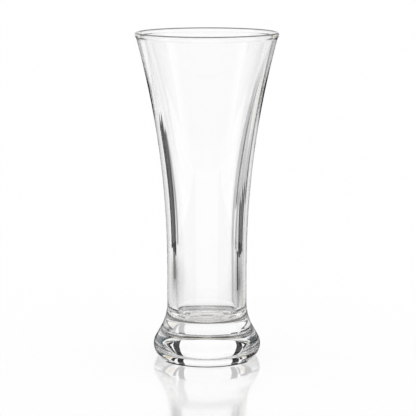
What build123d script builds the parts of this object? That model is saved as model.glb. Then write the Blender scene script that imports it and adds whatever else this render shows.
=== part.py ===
from build123d import *
import os
from math import cos, radians, sin, tan

# Pilsner glass in clear soda-lime glass: a heavy pressed foot, a flared bowl and a fire-polished rim.
# Millimetres, +Z up. The origin is on the axis, in the plane that the glass stands on.
# Every outline is drawn as radius against height and turned about the axis.

# Overall
overall_height = 180.0
waist_diameter = 44.1
waist_top_height = 52.3

# Rim
rim_diameter = 78.6
bead_thickness = 2.4
bead_overhang = 0.9
bead_blend_height = 3.5
mouth_wall = 1.7

# Cavity
cavity_diameter = 33.6
cavity_floor_height = 21.6
cavity_corner_radius = 7.0
cavity_straight_top_height = 60.0

# Foot
foot_diameter = 59.4
foot_widest_height = 6.75
foot_shoulder_radius = 8.0
foot_slope_angle = 29.2
foot_sweep_radius = 28.9
bearing_diameter = 52.9
bearing_width = 10.0
punt_lip_width = 3.0
punt_lip_height = 0.9
punt_crown_height = 0.3

# Foot outline, from the bearing ring up to the seat of the bowl
foot_radius = foot_diameter / 2
bearing_radius = bearing_diameter / 2
bearing_inner_radius = bearing_radius - bearing_width
punt_radius = bearing_inner_radius - punt_lip_width
punt_depth = punt_lip_height + punt_crown_height
slope = radians(foot_slope_angle)
waist_radius = waist_diameter / 2
shoulder_end_radius = foot_radius - foot_shoulder_radius * (1 - cos(slope))
shoulder_end_height = foot_widest_height + foot_shoulder_radius * sin(slope)
seat_radius = waist_radius + foot_sweep_radius * (1 - cos(slope))
seat_height = shoulder_end_height + (shoulder_end_radius - seat_radius) / tan(slope)
waist_bottom_height = seat_height + foot_sweep_radius * sin(slope)

# Rim outline, from the neck where the wall ends up to the crest of the bead
bead_radius = bead_thickness / 2
bead_outer_radius = rim_diameter / 2
bead_inner_radius = bead_outer_radius - bead_thickness
bead_middle_radius = bead_outer_radius - bead_radius
bead_middle_height = overall_height - bead_radius
neck_height = overall_height - bead_blend_height
neck_outer_radius = bead_outer_radius - bead_overhang
neck_inner_radius = neck_outer_radius - mouth_wall
blend_reach = (bead_middle_height - neck_height) / 2

# Flare of the outer wall, one arc that leaves the waist upright and ends at the neck
flare_rise = neck_height - waist_top_height
flare_spread = neck_outer_radius - waist_radius
flare_radius = (flare_rise**2 + flare_spread**2) / (2 * flare_spread)
flare_end_direction = (flare_rise / flare_radius, 1 - flare_spread / flare_radius)

# Cavity wall: an upright stretch, then one arc that opens out to the neck
cavity_radius = cavity_diameter / 2
cavity_rise = neck_height - cavity_straight_top_height
cavity_spread = neck_inner_radius - cavity_radius
cavity_flare_radius = (cavity_rise**2 + cavity_spread**2) / (2 * cavity_spread)
cavity_end_direction = (cavity_rise / cavity_flare_radius, 1 - cavity_spread / cavity_flare_radius)
cavity_corner_height = cavity_floor_height + cavity_corner_radius

os.makedirs("parts", exist_ok=True)

# Foot: a solid base with a shallow punt and its sloping lip inside the bearing ring
with BuildPart() as foot:
    with BuildSketch(Plane.XZ):
        with BuildLine():
            punt_arc = TangentArc((0, punt_depth), (punt_radius, punt_lip_height), tangent=(1, 0))
            punt_lip = Line(punt_arc @ 1, (bearing_inner_radius, 0))
            bearing = Line(punt_lip @ 1, (bearing_radius, 0))
            heel = TangentArc((foot_radius, foot_widest_height), bearing @ 1, tangent=(0, -1))
            shoulder_end = (shoulder_end_radius, shoulder_end_height)
            shoulder = TangentArc((foot_radius, foot_widest_height), shoulder_end, tangent=(0, 1))
            cone = Line(shoulder @ 1, (seat_radius, seat_height))
            seat = Line(cone @ 1, (0, seat_height))
            Line(seat @ 1, punt_arc @ 0)
        make_face()
    revolve(axis=Axis.Z)

foot.part.label = "foot"
export_step(foot.part, "parts/foot.step")

# Bowl: the sweep off the foot, the upright waist and the flared wall round the cavity
with BuildPart() as bowl:
    with BuildSketch(Plane.XZ):
        with BuildLine():
            sweep_end = (waist_radius, waist_bottom_height)
            sweep_up = TangentArc(sweep_end, (seat_radius, seat_height), tangent=(0, -1))
            waist = Line(sweep_end, (waist_radius, waist_top_height))
            flare = TangentArc(waist @ 1, (neck_outer_radius, neck_height), tangent=(0, 1))
            neck = Line(flare @ 1, (neck_inner_radius, neck_height))
            straight_top = (cavity_radius, cavity_straight_top_height)
            cavity_flare = TangentArc(straight_top, neck @ 1, tangent=(0, 1))
            straight = Line(straight_top, (cavity_radius, cavity_corner_height))
            corner_end = (cavity_radius - cavity_corner_radius, cavity_floor_height)
            corner = TangentArc(straight @ 1, corner_end, tangent=(0, -1))
            floor = Line(corner @ 1, (0, cavity_floor_height))
            core = Line(floor @ 1, (0, seat_height))
            Line(core @ 1, sweep_up @ 1)
        make_face()
    revolve(axis=Axis.Z)

bowl.part.label = "bowl"
export_step(bowl.part, "parts/bowl.step")

# Rim bead: the melted lip, rounder and thicker than the wall it stands on
with BuildPart() as rim_bead:
    with BuildSketch(Plane.XZ):
        with BuildLine():
            outer_side = (bead_outer_radius, bead_middle_height)
            inner_side = (bead_inner_radius, bead_middle_height)
            outer_pull = (
                neck_outer_radius + blend_reach * flare_end_direction[0],
                neck_height + blend_reach * flare_end_direction[1],
            )
            inner_pull = (
                neck_inner_radius + blend_reach * cavity_end_direction[0],
                neck_height + blend_reach * cavity_end_direction[1],
            )
            outer_drop = (bead_outer_radius, bead_middle_height - blend_reach)
            inner_drop = (bead_inner_radius, bead_middle_height - blend_reach)
            outer_blend = Bezier((neck_outer_radius, neck_height), outer_pull, outer_drop, outer_side)
            crest = ThreePointArc(outer_side, (bead_middle_radius, overall_height), inner_side)
            inner_blend = Bezier(inner_side, inner_drop, inner_pull, (neck_inner_radius, neck_height))
            Line(inner_blend @ 1, outer_blend @ 0)
        make_face()
    revolve(axis=Axis.Z)

rim_bead.part.label = "rim_bead"
export_step(rim_bead.part, "parts/rim_bead.step")
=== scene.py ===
import math

import bmesh
import bpy
from mathutils import Matrix, Vector
from mathutils.geometry import interpolate_bezier


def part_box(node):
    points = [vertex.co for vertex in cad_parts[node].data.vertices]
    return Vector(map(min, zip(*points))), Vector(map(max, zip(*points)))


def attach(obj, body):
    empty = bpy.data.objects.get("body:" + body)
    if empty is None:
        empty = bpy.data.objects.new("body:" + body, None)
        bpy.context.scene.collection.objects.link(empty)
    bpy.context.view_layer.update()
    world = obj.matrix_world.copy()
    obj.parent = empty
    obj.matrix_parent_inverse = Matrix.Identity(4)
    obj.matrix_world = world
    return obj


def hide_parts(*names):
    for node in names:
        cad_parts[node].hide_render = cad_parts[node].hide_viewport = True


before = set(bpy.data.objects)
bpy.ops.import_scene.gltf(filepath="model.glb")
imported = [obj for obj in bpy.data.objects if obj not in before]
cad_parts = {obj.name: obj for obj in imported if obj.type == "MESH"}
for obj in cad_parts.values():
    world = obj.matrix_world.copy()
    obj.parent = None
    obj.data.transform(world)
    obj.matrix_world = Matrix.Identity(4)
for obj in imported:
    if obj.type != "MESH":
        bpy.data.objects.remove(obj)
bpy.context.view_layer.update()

scene = bpy.context.scene
scene.view_settings.view_transform = "Standard"

# light crosses many faces of the thick glass before it comes out
lightSteps = 48
scene.cycles.max_bounces = lightSteps
scene.cycles.transmission_bounces = lightSteps
scene.cycles.glossy_bounces = lightSteps
scene.cycles.transparent_max_bounces = lightSteps

footLow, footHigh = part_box("foot")
bowlLow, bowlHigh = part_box("bowl")
rimLow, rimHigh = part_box("rim_bead")
glassMiddle = (footLow + rimHigh) / 2

meshSize = {
    "turnSteps": 256,
    "cornerSteps": 12,
    "curveSteps": 32,
    "wallSteps": 64,
    "mergeGap": 2e-6,
    "levelGap": 1e-5,
    "flatNormal": 0.9999,
    "creaseAngle": math.radians(10),
}


def pieceFrom(shape, name):
    mesh = bpy.data.meshes.new(name)
    shape.to_mesh(mesh)
    shape.free()
    piece = bpy.data.objects.new(name, mesh)
    scene.collection.objects.link(piece)
    return piece


# Outline tools: a pen walks round half of the section, in the XZ plane

def startOutline(radius, height):
    outline = bmesh.new()
    return outline, outline.verts.new((radius, 0, height))


def lineTo(outline, pen, radius, height):
    tip = bmesh.ops.extrude_vert_indiv(outline, verts=[pen])["verts"][0]
    tip.co = (radius, 0, height)
    return tip


def arcTo(outline, pen, centre, turn, steps):
    swept = bmesh.ops.spin(outline, geom=[pen], cent=(centre[0], 0, centre[1]),
                           axis=(0, -1, 0), angle=turn, steps=meshSize[steps])
    return [v for v in swept["geom_last"] if isinstance(v, bmesh.types.BMVert)][0]


def curveTo(outline, pen, pull, drop, end):
    corners = [Vector((p[0], 0, p[1])) for p in (pull, drop, end)]
    for point in interpolate_bezier(pen.co.copy(), *corners, meshSize["cornerSteps"])[1:]:
        pen = lineTo(outline, pen, point.x, point.z)
    return pen


def turnSolid(outline, name, jointHeights, ringHeight=None):
    bmesh.ops.spin(outline, geom=outline.verts[:] + outline.edges[:], cent=(0, 0, 0),
                   axis=(0, 0, 1), angle=2 * math.pi, steps=meshSize["turnSteps"], use_merge=True)
    bmesh.ops.remove_doubles(outline, verts=outline.verts[:], dist=meshSize["mergeGap"])
    bmesh.ops.recalc_face_normals(outline, faces=outline.faces[:])
    for face in outline.faces:
        face.smooth = True
        if abs(face.normal.z) < meshSize["flatNormal"]:
            continue
        level = face.calc_center_median().z
        if any(abs(level - height) < meshSize["levelGap"] for height in jointHeights):
            face.material_index = 1  # hidden joint inside the glass
        elif ringHeight is not None and abs(level - ringHeight) < meshSize["levelGap"]:
            face.material_index = 2  # ring that the glass stands on
    for edge in outline.edges:
        if len(edge.link_faces) == 2 and edge.calc_face_angle() > meshSize["creaseAngle"]:
            edge.smooth = False
    return pieceFrom(outline, name)


# Foot: punt and its lip, bearing ring, heel, shoulder and cone, up to the seat of the bowl

footSize = {
    "waistRadius": 0.02205,
    "sweepRadius": 0.0289,
    "slopeAngle": math.radians(29.2),
    "shoulderRadius": 0.008,
    "widestHeight": 0.00675,
    "bearingRadius": 0.02645,
    "bearingWidth": 0.01,
    "lipWidth": 0.003,
    "lipHeight": 0.0009,
    "crownHeight": 0.0003,
}


def makeFoot(size):
    footRadius = footHigh.x
    seatHeight = footHigh.z
    seatRadius = size["waistRadius"] + size["sweepRadius"] * (1 - math.cos(size["slopeAngle"]))
    drop = footRadius - size["bearingRadius"]
    heelRadius = (size["widestHeight"] ** 2 + drop ** 2) / (2 * drop)
    ringRadius = size["bearingRadius"] - size["bearingWidth"]
    puntRadius = ringRadius - size["lipWidth"]
    puntDepth = size["lipHeight"] + size["crownHeight"]
    crownRadius = (puntRadius ** 2 + size["crownHeight"] ** 2) / (2 * size["crownHeight"])
    outline, pen = startOutline(0, puntDepth)
    crownTurn = math.asin(puntRadius / crownRadius)
    pen = arcTo(outline, pen, (0, puntDepth - crownRadius), -crownTurn, "curveSteps")
    pen = lineTo(outline, pen, ringRadius, footLow.z)
    pen = lineTo(outline, pen, size["bearingRadius"], footLow.z)
    heelTurn = math.asin(size["widestHeight"] / heelRadius)
    heelCentre = (footRadius - heelRadius, size["widestHeight"])
    pen = arcTo(outline, pen, heelCentre, heelTurn, "curveSteps")
    shoulderCentre = (footRadius - size["shoulderRadius"], size["widestHeight"])
    pen = arcTo(outline, pen, shoulderCentre, size["slopeAngle"], "curveSteps")
    pen = lineTo(outline, pen, seatRadius, seatHeight)
    lineTo(outline, pen, 0, seatHeight)
    return turnSolid(outline, "glassFoot", [seatHeight], footLow.z)


# Bowl: sweep off the foot, waist, flare and the cavity inside

bowlSize = {
    "waistTop": 0.0523,
    "mouthWall": 0.0017,
    "cavityRadius": 0.0168,
    "cavityFloor": 0.0216,
    "cornerRadius": 0.007,
    "straightTop": 0.06,
}


# radius and turn of an arc that starts upright and reaches a height and a width
def flareOf(rise, spread):
    return (rise ** 2 + spread ** 2) / (2 * spread), 2 * math.atan(spread / rise)


def makeBowl(size, foot):
    seatHeight = bowlLow.z
    neckHeight = bowlHigh.z
    neckOuter = bowlHigh.x
    neckInner = neckOuter - size["mouthWall"]
    waist = foot["waistRadius"]
    sweep = foot["sweepRadius"]
    slope = foot["slopeAngle"]
    cavity = size["cavityRadius"]
    flareRadius, flareTurn = flareOf(neckHeight - size["waistTop"], neckOuter - waist)
    cavityFlare, cavityTurn = flareOf(neckHeight - size["straightTop"], neckInner - cavity)
    outline, pen = startOutline(0, seatHeight)
    pen = lineTo(outline, pen, waist + sweep * (1 - math.cos(slope)), seatHeight)
    sweepCentre = (waist + sweep, seatHeight + sweep * math.sin(slope))
    pen = arcTo(outline, pen, sweepCentre, -slope, "curveSteps")
    pen = lineTo(outline, pen, waist, size["waistTop"])
    pen = arcTo(outline, pen, (waist + flareRadius, size["waistTop"]), -flareTurn, "wallSteps")
    pen = lineTo(outline, pen, neckInner, neckHeight)
    pen = arcTo(outline, pen, (cavity + cavityFlare, size["straightTop"]), cavityTurn, "wallSteps")
    cornerCentre = (cavity - size["cornerRadius"], size["cavityFloor"] + size["cornerRadius"])
    pen = lineTo(outline, pen, cavity, cornerCentre[1])
    pen = arcTo(outline, pen, cornerCentre, -math.pi / 2, "curveSteps")
    lineTo(outline, pen, 0, size["cavityFloor"])
    return turnSolid(outline, "glassBowl", [seatHeight, neckHeight])


# Rim bead: the melted lip

rimSize = {
    "beadThickness": 0.0024,
    "beadOverhang": 0.0009,
}


def makeRim(size, bowl, foot):
    neckHeight = rimLow.z
    outerRadius = rimHigh.x
    bead = size["beadThickness"] / 2
    middle = rimHigh.z - bead
    innerRadius = outerRadius - size["beadThickness"]
    neckOuter = outerRadius - size["beadOverhang"]
    neckInner = neckOuter - bowl["mouthWall"]
    reach = (middle - neckHeight) / 2
    outerLean = flareOf(neckHeight - bowl["waistTop"], neckOuter - foot["waistRadius"])[1]
    innerLean = flareOf(neckHeight - bowl["straightTop"], neckInner - bowl["cavityRadius"])[1]
    outline, pen = startOutline(neckInner, neckHeight)
    first = pen
    pen = lineTo(outline, pen, neckOuter, neckHeight)
    outerPull = (neckOuter + reach * math.sin(outerLean), neckHeight + reach * math.cos(outerLean))
    pen = curveTo(outline, pen, outerPull, (outerRadius, middle - reach), (outerRadius, middle))
    pen = arcTo(outline, pen, (outerRadius - bead, middle), math.pi, "curveSteps")
    innerPull = (neckInner + reach * math.sin(innerLean), neckHeight + reach * math.cos(innerLean))
    pen = curveTo(outline, pen, (innerRadius, middle - reach), innerPull, (neckInner, neckHeight))
    bmesh.ops.pointmerge(outline, verts=[pen, first], merge_co=first.co)
    return turnSolid(outline, "glassRim", [neckHeight])


# Glass: clear soda-lime, with the slight waves and smears of a pressed and polished surface

glassLook = {
    "ior": 1.52,
    "shadow": (0.97, 0.97, 0.97, 1),
    "bowl": {"clear": (0.999, 1.0, 0.999, 1), "smeared": (0.99, 0.995, 0.993, 1), "waves": 38.0,
             "smears": 150.0, "haze": 0.003, "waveDepth": 0.000012},
    "foot": {"clear": (0.998, 1.0, 0.999, 1), "smeared": (0.985, 0.992, 0.99, 1), "waves": 55.0,
             "smears": 180.0, "haze": 0.003, "waveDepth": 0.00001},
    # rim: its crest colour is painted shade, a dark line along the top of the lip
    "rim": {"clear": (0.998, 1.0, 0.999, 1), "smeared": (0.98, 0.99, 0.988, 1), "waves": 90.0,
            "smears": 240.0, "haze": 0.004, "waveDepth": 0.000008,
            "crest": (0.02, 0.021, 0.02, 1), "crestDepth": 0.0008, "crestFade": 0.0004},
    "ring": {"clear": (0.99, 0.995, 0.993, 1), "smeared": (0.9, 0.91, 0.91, 1), "waves": 260.0,
             "smears": 900.0, "haze": 0.03, "waveDepth": 0.000006},
}

finishSize = {
    "stretch": (1, 1, 0.4),  # drawn out upwards, as the glass was
    "waveDetail": 1.5,
    "smearDetail": 6,
    "smearRoughness": 0.65,
    "smearFrom": 0.5,
    "smearTo": 0.75,
}


def makeFinishGroup(size):
    group = bpy.data.node_groups.new("pressedFinish", "ShaderNodeTree")
    face = group.interface
    for name in ("Clear", "Smeared"):
        face.new_socket(name, in_out="INPUT", socket_type="NodeSocketColor")
    for name in ("Waves", "Smears", "Haze"):
        face.new_socket(name, in_out="INPUT", socket_type="NodeSocketFloat")
    face.new_socket("Color", in_out="OUTPUT", socket_type="NodeSocketColor")
    for name in ("Roughness", "Height"):
        face.new_socket(name, in_out="OUTPUT", socket_type="NodeSocketFloat")
    start = group.nodes.new("NodeGroupInput")
    end = group.nodes.new("NodeGroupOutput")
    place = group.nodes.new("ShaderNodeTexCoord")
    stretch = group.nodes.new("ShaderNodeMapping")
    stretch.inputs["Scale"].default_value = size["stretch"]
    waves = group.nodes.new("ShaderNodeTexNoise")
    waves.inputs["Detail"].default_value = size["waveDetail"]
    smears = group.nodes.new("ShaderNodeTexNoise")
    smears.inputs["Detail"].default_value = size["smearDetail"]
    smears.inputs["Roughness"].default_value = size["smearRoughness"]
    patch = group.nodes.new("ShaderNodeMapRange")
    patch.inputs["From Min"].default_value = size["smearFrom"]
    patch.inputs["From Max"].default_value = size["smearTo"]
    rough = group.nodes.new("ShaderNodeMapRange")
    colorMix = group.nodes.new("ShaderNodeMix")
    colorMix.data_type = "RGBA"
    link = group.links.new
    link(place.outputs["Object"], stretch.inputs["Vector"])
    link(stretch.outputs["Vector"], waves.inputs["Vector"])
    link(start.outputs["Waves"], waves.inputs["Scale"])
    link(place.outputs["Object"], smears.inputs["Vector"])
    link(start.outputs["Smears"], smears.inputs["Scale"])
    link(smears.outputs["Fac"], patch.inputs["Value"])
    link(patch.outputs["Result"], rough.inputs["Value"])
    link(start.outputs["Haze"], rough.inputs["To Max"])
    link(patch.outputs["Result"], colorMix.inputs["Factor"])
    link(start.outputs["Clear"], colorMix.inputs["A"])
    link(start.outputs["Smeared"], colorMix.inputs["B"])
    link(colorMix.outputs["Result"], end.inputs["Color"])
    link(rough.outputs["Result"], end.inputs["Roughness"])
    link(waves.outputs["Fac"], end.inputs["Height"])
    return group


# painted shade: the top of the lip is painted as a dark line, standing in for the dark edge that a
# rounded glass lip shows by refraction
def crestColor(tree, color, values):
    place = tree.nodes.new("ShaderNodeTexCoord")
    split = tree.nodes.new("ShaderNodeSeparateXYZ")
    top = tree.nodes.new("ShaderNodeMapRange")
    top.inputs["From Min"].default_value = rimHigh.z - values["crestDepth"]
    top.inputs["From Max"].default_value = rimHigh.z - values["crestFade"]
    colorMix = tree.nodes.new("ShaderNodeMix")
    colorMix.data_type = "RGBA"
    colorMix.inputs["B"].default_value = values["crest"]
    link = tree.links.new
    link(place.outputs["Object"], split.inputs["Vector"])
    link(split.outputs["Z"], top.inputs["Value"])
    link(top.outputs["Result"], colorMix.inputs["Factor"])
    link(color, colorMix.inputs["A"])
    return colorMix.outputs["Result"]


def glassMaterial(name, look, finishGroup):
    values = look[name]
    mat = bpy.data.materials.new(name + "Glass")
    mat.use_nodes = True
    tree = mat.node_tree
    body = tree.nodes["Principled BSDF"]
    body.inputs["IOR"].default_value = look["ior"]
    body.inputs["Transmission Weight"].default_value = 1
    finish = tree.nodes.new("ShaderNodeGroup")
    finish.node_tree = finishGroup
    for socket in ("Clear", "Smeared", "Waves", "Smears", "Haze"):
        finish.inputs[socket].default_value = values[socket.lower()]
    color = finish.outputs["Color"]
    # painted shade: a dark line along the top of the lip
    if "crest" in values:
        color = crestColor(tree, color, values)
    bump = tree.nodes.new("ShaderNodeBump")
    bump.inputs["Distance"].default_value = values["waveDepth"]
    through = tree.nodes.new("ShaderNodeBsdfTransparent")
    through.inputs["Color"].default_value = look["shadow"]
    path = tree.nodes.new("ShaderNodeLightPath")
    mix = tree.nodes.new("ShaderNodeMixShader")
    link = tree.links.new
    link(color, body.inputs["Base Color"])
    link(finish.outputs["Roughness"], body.inputs["Roughness"])
    link(finish.outputs["Height"], bump.inputs["Height"])
    link(bump.outputs["Normal"], body.inputs["Normal"])
    link(path.outputs["Is Shadow Ray"], mix.inputs["Fac"])
    link(body.outputs["BSDF"], mix.inputs[1])
    link(through.outputs["BSDF"], mix.inputs[2])
    link(mix.outputs["Shader"], tree.nodes["Material Output"].inputs["Surface"])
    return mat


def bareMaterial(name):
    mat = bpy.data.materials.new(name)
    mat.use_nodes = True
    tree = mat.node_tree
    tree.nodes.remove(tree.nodes["Principled BSDF"])
    return mat, tree


def jointMaterial():
    mat, tree = bareMaterial("glassJoint")
    clear = tree.nodes.new("ShaderNodeBsdfTransparent")
    tree.links.new(clear.outputs["BSDF"], tree.nodes["Material Output"].inputs["Surface"])
    return mat


foot = makeFoot(footSize)
bowl = makeBowl(bowlSize, footSize)
rim = makeRim(rimSize, bowlSize, footSize)
print("pieces:", [len(piece.data.polygons) for piece in (foot, bowl, rim)])

finishGroup = makeFinishGroup(finishSize)
glassJoint = jointMaterial()
for piece, node, look in ((foot, "foot", "foot"), (bowl, "bowl", "bowl"),
                          (rim, "rim_bead", "rim")):
    piece.data.materials.append(glassMaterial(look, glassLook, finishGroup))
    piece.data.materials.append(glassJoint)
    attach(piece, "root")
    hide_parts(node)
foot.data.materials.append(glassMaterial("ring", glassLook, finishGroup))
print("glass done")


# Stage: a pale floor in soft white light from all round

stageSize = {
    "white": (1, 1, 1, 1),
    "floorHalf": 8.0,
    "floorDrop": 0.0002,
    "floorColor": (0.97, 0.97, 0.97, 1),
    "floorGlow": 0.75,
    "floorShine": 0.45,
    "floorGloss": 0.1,
    "cardSteps": 64,
    "padLift": -0.0001,  # between the floor and the foot
}


def seenRays(tree):
    path = tree.nodes.new("ShaderNodeLightPath")
    direct = tree.nodes.new("ShaderNodeMath")
    direct.operation = "ADD"
    seen = tree.nodes.new("ShaderNodeMath")
    seen.operation = "ADD"
    seen.use_clamp = True
    tree.links.new(path.outputs["Is Camera Ray"], direct.inputs[0])
    tree.links.new(path.outputs["Is Glossy Ray"], direct.inputs[1])
    tree.links.new(direct.outputs[0], seen.inputs[0])
    tree.links.new(path.outputs["Is Transmission Ray"], seen.inputs[1])
    return seen.outputs[0]


def makeFloor(size):
    shape = bmesh.new()
    bmesh.ops.create_grid(shape, x_segments=1, y_segments=1, size=size["floorHalf"])
    floor = pieceFrom(shape, "floor")
    floor.location.z = -size["floorDrop"]
    mat, tree = bareMaterial("paleFloor")
    lit = tree.nodes.new("ShaderNodeBsdfDiffuse")
    lit.inputs["Color"].default_value = size["floorColor"]
    glow = tree.nodes.new("ShaderNodeEmission")
    glow.inputs["Color"].default_value = size["white"]
    gloss = tree.nodes.new("ShaderNodeBsdfGlossy")
    gloss.inputs["Color"].default_value = size["white"]
    gloss.inputs["Roughness"].default_value = size["floorGloss"]
    share = tree.nodes.new("ShaderNodeMath")
    share.operation = "MULTIPLY"
    share.inputs[1].default_value = size["floorGlow"]
    pale = tree.nodes.new("ShaderNodeMixShader")
    shine = tree.nodes.new("ShaderNodeMixShader")
    shine.inputs["Fac"].default_value = size["floorShine"]
    link = tree.links.new
    link(seenRays(tree), share.inputs[0])
    link(share.outputs[0], pale.inputs["Fac"])
    link(lit.outputs["BSDF"], pale.inputs[1])
    link(glow.outputs["Emission"], pale.inputs[2])
    link(pale.outputs["Shader"], shine.inputs[1])
    link(gloss.outputs["BSDF"], shine.inputs[2])
    link(shine.outputs["Shader"], tree.nodes["Material Output"].inputs["Surface"])
    floor.data.materials.append(mat)


# Cards: they stand in for the studio round the glass, and a few lying ones are painted shadow of
# the foot

cardTone = {
    "dark": (0.008, 0.009, 0.009, 1),
    "shade": (0.2, 0.19, 0.18, 1),
    "teal": (0.025, 0.04, 0.038, 1),
    "blue": (0.04, 0.07, 0.09, 1),
    "warm": (0.8, 0.7, 0.56, 1),
    "tan": (0.5, 0.47, 0.43, 1),
    "light": (0.68, 0.68, 0.67, 1),
}
# standing cards: span in degrees from straight behind the glass, lean of the high edge in degrees,
# low and high edges as radius and height, and rays for how the card shows in the glass
cardSize = {
    "leftFlag": {"tone": "dark", "span": (-18.5, -25.5), "lean": -6, "rays": "through",
                 "low": (0.9, 0.002), "high": (0.9, 0.62)},
    "leftBar": {"tone": "dark", "span": (-28, -31), "lean": -5, "rays": "through",
                "low": (0.9, 0.16), "high": (0.9, 0.55)},
    "rightFlag": {"tone": "dark", "span": (16.5, 22.5), "lean": 6, "rays": "both",
                  "low": (0.9, 0.002), "high": (0.9, 0.62)},
    "rightBar": {"tone": "dark", "span": (27, 31), "lean": 0, "rays": "both",
                 "low": (0.9, 0.05), "high": (0.9, 0.85)},
    "leftLow": {"tone": "dark", "span": (-43, -64), "lean": 0, "rays": "through",
                "low": (1.1, 0.002), "high": (1.1, 0.33)},
    "leftFoot": {"tone": "dark", "span": (-30, -40), "lean": 0, "rays": "through",
                 "low": (1.1, 0.002), "high": (1.1, 0.13)},
    "leftWarm": {"tone": "warm", "span": (-35, -44), "lean": 0, "rays": "through",
                 "low": (1.2, 0.15), "high": (1.2, 0.7)},
    "rightWarm": {"tone": "warm", "span": (33, 43), "lean": 0, "rays": "both",
                  "low": (1.2, 0.15), "high": (1.2, 0.7)},
    "leftBlue": {"tone": "blue", "span": (-46, -60), "lean": 0, "rays": "through",
                 "low": (1.3, 0.06), "high": (1.3, 0.85)},
    "rightBlue": {"tone": "blue", "span": (46, 60), "lean": 0, "rays": "both",
                  "low": (1.3, 0.06), "high": (1.3, 0.44)},
    "leftTeal": {"tone": "teal", "span": (-59, -95), "lean": 0, "rays": "both",
                 "low": (1.5, 0.3), "high": (1.5, 1.1)},
    "rightTeal": {"tone": "teal", "span": (58, 95), "lean": 0, "rays": "both",
                  "low": (1.5, 0.3), "high": (1.5, 1.1)},
    "rightHigh": {"tone": "blue", "span": (46, 62), "lean": 0, "rays": "through",
                  "low": (1.3, 0.44), "high": (1.3, 1.1)},
    "leftEdgeIn": {"tone": "dark", "span": (-32, -42), "lean": -4, "rays": "through",
                   "low": (0.35, 0.0), "high": (0.18, 0.079)},
    "leftEdge": {"tone": "dark", "span": (-42, -52), "lean": -4, "rays": "through",
                 "low": (0.335, 0.0), "high": (0.167, 0.079)},
    "leftEdgeOut": {"tone": "dark", "span": (-52, -61), "lean": -4, "rays": "through",
                    "low": (0.315, 0.0), "high": (0.147, 0.079)},
    "leftTail": {"tone": "shade", "span": (-46, -60), "lean": -3, "rays": "through",
                 "low": (0.2, 0.0), "high": (0.11, 0.042)},
    "rightEdgeIn": {"tone": "dark", "span": (30, 38), "lean": 6, "rays": "through",
                    "low": (0.34, 0.0), "high": (0.27, 0.033)},
    "rightEdge": {"tone": "dark", "span": (38, 47), "lean": 6, "rays": "through",
                  "low": (0.322, 0.0), "high": (0.252, 0.033)},
    "rightEdgeOut": {"tone": "dark", "span": (47, 56), "lean": 6, "rays": "through",
                     "low": (0.3, 0.0), "high": (0.23, 0.033)},
    "rightRim": {"tone": "dark", "span": (30, 58), "lean": 0, "rays": "mirrored",
                 "low": (1.05, 0.002), "high": (1.05, 0.2)},
    "front": {"tone": "light", "span": (115, 245), "lean": 0, "rays": "both",
              "low": (1.6, 0.2), "high": (1.6, 1.4)},
    "ceiling": {"tone": "dark", "span": (45, 315), "lean": 0, "rays": "through",
                "low": (0.002, 1.43), "high": (1.7, 1.43)},
    "backCeiling": {"tone": "tan", "span": (-45, 45), "lean": 0, "rays": "through",
                    "low": (0.002, 1.43), "high": (1.7, 1.43)},
}
# lying cards: near and far as radius, clear from below so that the floor does not show them
padSize = {
    "rightLine": {"tone": "dark", "span": (25, 31),
                  "near": 0.42, "far": 0.56, "rays": "through"},
    "rightEnd": {"tone": "dark", "span": (59, 68),
                 "near": 0.165, "far": 0.34, "rays": "through"},
    "leftGap": {"tone": "dark", "span": (-8, -40),
                "near": 0.25, "far": 1.5, "rays": "mirrored"},
    "rightGap": {"tone": "dark", "span": (8, 40),
                 "near": 0.25, "far": 1.5, "rays": "mirrored"},
    "leftSide": {"tone": "dark", "span": (-40, -66),
                 "near": 0.3, "far": 0.58, "rays": "mirrored"},
    "rightSide": {"tone": "dark", "span": (40, 66),
                  "near": 0.3, "far": 0.45, "rays": "mirrored"},
    "leftBase": {"tone": "dark", "span": (-18, -150),
                 "near": 0.0285, "far": 0.3, "rays": "mirrored"},
    "rightBase": {"tone": "dark", "span": (18, 150),
                  "near": 0.0285, "far": 0.3, "rays": "mirrored"},
    # painted shadow of the foot on the floor: behind it, at its edge and beneath it
    "shade": {"tone": "shade", "span": (-60, 60),
              "near": 0.038, "far": 0.039, "rays": "through"},
    "contactShadow": {"tone": "teal", "span": (125, 235),
                "near": 0.0262, "far": 0.0279, "rays": "all"},
    "leftHeelShadow": {"tone": "dark", "span": (-30, -95),
                 "near": 0.0238, "far": 0.0262, "rays": "through"},
    "rightHeelShadow": {"tone": "dark", "span": (30, 95),
                  "near": 0.0238, "far": 0.0262, "rays": "through"},
    "backHeelShadow": {"tone": "shade", "span": (-30, 30),
                 "near": 0.0242, "far": 0.0262, "rays": "through"},
    "underShadow": {"tone": "shade", "span": (-25, 25),
              "near": 0.008, "far": 0.013, "rays": "through"},
    "leftUnderShadow": {"tone": "shade", "span": (-40, -80),
                  "near": 0.014, "far": 0.0225, "rays": "through"},
    "rightUnderShadow": {"tone": "shade", "span": (40, 80),
                   "near": 0.014, "far": 0.0225, "rays": "through"},
}


def cardMaterial(name, tone):
    mat, tree = bareMaterial(name)
    glow = tree.nodes.new("ShaderNodeEmission")
    glow.inputs["Color"].default_value = tone
    clear = tree.nodes.new("ShaderNodeBsdfTransparent")
    side = tree.nodes.new("ShaderNodeNewGeometry")
    mix = tree.nodes.new("ShaderNodeMixShader")
    link = tree.links.new
    link(side.outputs["Backfacing"], mix.inputs["Fac"])
    link(glow.outputs["Emission"], mix.inputs[1])
    link(clear.outputs["BSDF"], mix.inputs[2])
    link(mix.outputs["Shader"], tree.nodes["Material Output"].inputs["Surface"])
    return mat


def showTo(piece, rays):
    piece.visible_camera = rays == "all"
    piece.visible_glossy = rays != "through"
    piece.visible_transmission = rays != "mirrored"
    piece.visible_diffuse = False
    piece.visible_shadow = False


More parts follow.
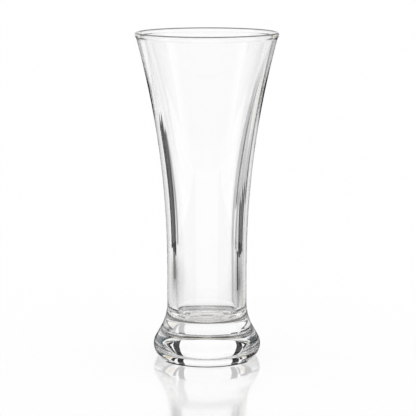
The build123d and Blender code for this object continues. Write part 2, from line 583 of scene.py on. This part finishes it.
# a card is one edge turned about the glass, and only its side towards the glass shows
def makeCard(name, mat, span, lean, low, high, rays):
    shape = bmesh.new()
    tips = [shape.verts.new((0, *low)), shape.verts.new((0, *high))]
    edge = shape.edges.new(tips)
    start, end = [math.radians(angle) for angle in span]
    for tip, angle in zip(tips, (start, start + math.radians(lean))):
        turn = Matrix.Rotation(-angle, 3, "Z")
        bmesh.ops.rotate(shape, cent=(0, 0, 0), matrix=turn, verts=[tip])
    bmesh.ops.spin(shape, geom=tips + [edge], cent=(0, 0, 0), axis=(0, 0, -1),
                   angle=end - start, steps=stageSize["cardSteps"])
    shape.normal_update()
    face = shape.faces[:][0]
    if face.normal.dot(glassMiddle - face.calc_center_median()) < 0:
        bmesh.ops.reverse_faces(shape, faces=shape.faces[:])
    piece = pieceFrom(shape, name)
    piece.data.materials.append(mat)
    showTo(piece, rays)


def makeCards(cards, pads, tones):
    mats = {name: cardMaterial(name + "Card", tone) for name, tone in tones.items()}
    for name, card in cards.items():
        makeCard(name, mats[card["tone"]], card["span"], card["lean"],
                 card["low"], card["high"], card["rays"])
    lift = stageSize["padLift"]
    for name, pad in pads.items():
        near, far = (pad["near"], lift), (pad["far"], lift)
        makeCard(name, mats[pad["tone"]], pad["span"], 0, near, far, pad["rays"])


# Floor shade: soft grey painted shade on the floor beside the glass, from a middle at an angle and
# a radius

floorShadeSize = {
    "leftFloorShade": {"tone": (0.2, 0.2, 0.195, 1), "angle": -54, "radius": 0.22, "reach": 0.19},
    "rightFloorShade": {"tone": (0.2, 0.2, 0.195, 1), "angle": 52, "radius": 0.19, "reach": 0.15},
}


# painted shade that is darkest in its middle and fades out towards its edge
def floorShadeMaterial(name, tone):
    mat, tree = bareMaterial(name)
    place = tree.nodes.new("ShaderNodeTexCoord")
    fade = tree.nodes.new("ShaderNodeTexGradient")
    fade.gradient_type = "QUADRATIC_SPHERE"
    glow = tree.nodes.new("ShaderNodeEmission")
    glow.inputs["Color"].default_value = tone
    clear = tree.nodes.new("ShaderNodeBsdfTransparent")
    mix = tree.nodes.new("ShaderNodeMixShader")
    link = tree.links.new
    link(place.outputs["Object"], fade.inputs["Vector"])
    link(fade.outputs["Fac"], mix.inputs["Fac"])
    link(clear.outputs["BSDF"], mix.inputs[1])
    link(glow.outputs["Emission"], mix.inputs[2])
    link(mix.outputs["Shader"], tree.nodes["Material Output"].inputs["Surface"])
    return mat


def makeFloorShade(floorShades):
    # each patch is painted shade on the floor, seen only through the glass
    for name, haze in floorShades.items():
        shape = bmesh.new()
        bmesh.ops.create_circle(shape, cap_ends=True, radius=1, segments=stageSize["cardSteps"])
        piece = pieceFrom(shape, name)
        turn = Matrix.Rotation(-math.radians(haze["angle"]), 3, "Z")
        piece.location = turn @ Vector((0, haze["radius"], stageSize["padLift"]))
        piece.scale = (haze["reach"], haze["reach"], haze["reach"])
        piece.data.materials.append(floorShadeMaterial(name, haze["tone"]))
        showTo(piece, "through")


def makeWorld(size):
    world = bpy.data.worlds.new("studio")
    scene.world = world
    world.use_nodes = True
    back = world.node_tree.nodes["Background"]
    back.inputs["Color"].default_value = size["white"]
    back.inputs["Strength"].default_value = 1


cameraSize = {
    "lens": 143.06,
    "sensor": 36,
    "place": (0.0006, -0.899, 0.2408),
    "pitch": math.radians(9.95),
}


def makeCamera(size):
    data = bpy.data.cameras.new("camera")
    data.lens = size["lens"]
    data.sensor_width = size["sensor"]
    camera = bpy.data.objects.new("camera", data)
    camera.location = size["place"]
    camera.rotation_euler = (math.pi / 2 - size["pitch"], 0, 0)
    scene.collection.objects.link(camera)
    scene.camera = camera


makeFloor(stageSize)
makeCards(cardSize, padSize, cardTone)
makeFloorShade(floorShadeSize)
makeWorld(stageSize)
makeCamera(cameraSize)
print("stage done")
